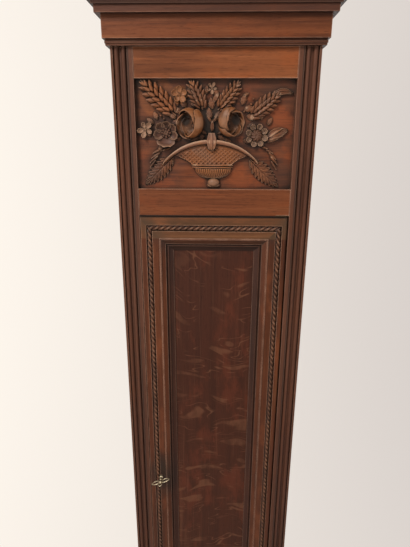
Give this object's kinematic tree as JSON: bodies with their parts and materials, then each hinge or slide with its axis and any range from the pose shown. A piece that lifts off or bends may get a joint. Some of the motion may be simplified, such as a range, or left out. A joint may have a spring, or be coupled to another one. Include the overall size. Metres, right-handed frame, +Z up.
{
  "type": "longcase regulator clock",
  "caption": "Carved oak longcase clock with a long panelled trunk door, a glazed hood over a round dial, a seconds pendulum and a weight on a pulley.",
  "frame": {"origin": "on the floor under the middle of the whole clock", "axes": "+Z up, front faces -Y, +X to the right of someone facing the clock"},
  "size_m": [0.468, 0.284, 2.29],
  "materials": {
    "oak": "waxed, worn",
    "plain_oak": "unpolished",
    "dark_oak": "waxed, dark",
    "figured_oak": "waxed, quarter sawn",
    "carved_oak": "waxed, carved",
    "brass": "satin",
    "steel": "brushed",
    "blued_steel": "blued",
    "silvered_brass": "silvered, matt",
    "pale_brass": "worn",
    "glass": "clear",
    "gut": "waxed gut"
  },
  "bodies": {
    "case": {"plinth": "oak", "base_sides": "oak", "base_frame": "oak", "base_panel": "oak", "base_floor": "plain_oak", "base_moulding": "oak", "trunk_sides": "plain_oak", "back_board": "plain_oak", "trunk_stiles": "dark_oak", "trunk_top_rail": "oak", "trunk_middle_rail": "oak", "trunk_bottom_rail": "oak", "carved_panel": "carved_oak", "throat_moulding": "oak", "seat_board": "plain_oak", "trunk_door_pivots": "brass", "dial_plate": "brass", "dial_rings": "silvered_brass", "front_plate": "brass", "back_plate": "brass", "plate_pillars": "brass", "pendulum_cock": "brass", "gut_line": "gut"},
    "trunk_door": {"door_frame": "oak", "door_rope_moulding": "dark_oak", "door_panel_moulding": "oak", "door_panel": "figured_oak", "lock_case": "brass"},
    "bolt": {"lock_bolt": "steel"},
    "key": {"door_key": "pale_brass"},
    "hood": {"hood_base_rail": "oak", "hood_sides": "oak", "hood_stiles": "dark_oak", "hood_frieze": "oak", "hood_cornice": "oak", "hood_roof": "plain_oak", "dial_mask": "dark_oak", "hood_door_pivots": "brass"},
    "hood_door": {"hood_door_frame": "oak", "hood_rope_moulding": "dark_oak", "hood_door_glass": "glass", "hood_door_knob": "brass"},
    "barrel": {"barrel": "brass"},
    "great": {"great_wheel": "brass"},
    "centre": {"centre_wheel": "brass", "minute_hand": "blued_steel"},
    "third": {"third_wheel": "brass"},
    "escape": {"escape_wheel": "brass", "seconds_hand": "blued_steel"},
    "pallets": {"pallets": "steel"},
    "motion": {"minute_wheel": "brass"},
    "hour": {"hour_wheel": "brass", "hour_hand": "blued_steel"},
    "pendulum": {"suspension_spring": "steel", "pendulum_rod": "steel", "pendulum_bob": "brass", "rating_nut": "brass"},
    "weight": {"weight": "brass", "pulley_block": "brass"},
    "pulley": {"pulley": "brass"}
  },
  "joints": [
    {"name": "trunk_door_swing", "type": "hinge", "parent": "case", "child": "trunk_door", "pos_m": [0.1198, -0.063, 0.4432], "axis": [0, 0, 1], "range_deg": [0, 95]},
    {"name": "door_key_turn", "type": "hinge", "parent": "trunk_door", "child": "key", "pos_m": [-0.1025, -0.068, 0.845], "axis": [0, 1, 0], "range_deg": [0, 180]},
    {"name": "lock_bolt_slide", "type": "slide", "parent": "trunk_door", "child": "bolt", "axis": [-1, 0, 0], "range_m": [0, 0.01]},
    {"name": "hood_slide", "type": "slide", "parent": "case", "child": "hood", "axis": [0, -1, 0], "range_m": [0, 0.25]},
    {"name": "hood_door_swing", "type": "hinge", "parent": "hood", "child": "hood_door", "pos_m": [0.1578, -0.101, 1.7662], "axis": [0, 0, 1], "range_deg": [0, 95]},
    {"name": "pendulum_swing", "type": "hinge", "parent": "case", "child": "pendulum", "pos_m": [0, 0.068, 2.0225], "axis": [0, 1, 0], "range_deg": [-2, 2]},
    {"name": "pallet_rock", "type": "hinge", "parent": "case", "child": "pallets", "pos_m": [0, 0.042, 2.0225], "axis": [0, 1, 0], "range_deg": [-2, 2]},
    {"name": "seconds_turn", "type": "hinge", "parent": "case", "child": "escape", "pos_m": [0, 0.012, 1.9955], "axis": [0, 1, 0], "continuous": true},
    {"name": "third_turn", "type": "hinge", "parent": "case", "child": "third", "pos_m": [0, 0.012, 1.97], "axis": [0, 1, 0], "continuous": true},
    {"name": "minute_turn", "type": "hinge", "parent": "case", "child": "centre", "pos_m": [0, 0.012, 1.9412], "axis": [0, 1, 0], "continuous": true},
    {"name": "great_turn", "type": "hinge", "parent": "case", "child": "great", "pos_m": [0, 0.012, 1.8996], "axis": [0, 1, 0], "continuous": true},
    {"name": "motion_turn", "type": "hinge", "parent": "case", "child": "motion", "pos_m": [0.018, -0.014, 1.9412], "axis": [0, 1, 0], "continuous": true},
    {"name": "hour_turn", "type": "hinge", "parent": "case", "child": "hour", "pos_m": [0, -0.014, 1.9412], "axis": [0, 1, 0], "continuous": true},
    {"name": "weight_lift", "type": "slide", "parent": "case", "child": "weight", "axis": [0, 0, 1], "range_m": [0, 1.00531], "deforming": ["gut_line"]},
    {"name": "barrel_turn", "type": "hinge", "parent": "case", "child": "barrel", "pos_m": [0, 0.012, 1.8996], "axis": [0, 1, 0], "range_deg": [0, 5760.1]},
    {"name": "pulley_turn", "type": "hinge", "parent": "weight", "child": "pulley", "pos_m": [0, 0.012, 0.79549], "axis": [0, 1, 0], "range_deg": [0, 2880.1]}
  ],
  "couplings": [
    {"joint": "lock_bolt_slide", "follows": "door_key_turn", "m_per_rad": 0.0031831},
    {"joint": "pallet_rock", "follows": "pendulum_swing", "ratio": 1},
    {"joint": "third_turn", "follows": "seconds_turn", "ratio": -0.13333},
    {"joint": "minute_turn", "follows": "seconds_turn", "ratio": 0.016667},
    {"joint": "great_turn", "follows": "seconds_turn", "ratio": -0.0013889},
    {"joint": "motion_turn", "follows": "seconds_turn", "ratio": -0.0055556},
    {"joint": "hour_turn", "follows": "seconds_turn", "ratio": 0.0013889},
    {"joint": "barrel_turn", "follows": "weight_lift", "rad_per_m": 100},
    {"joint": "pulley_turn", "follows": "weight_lift", "rad_per_m": 50}
  ]
}
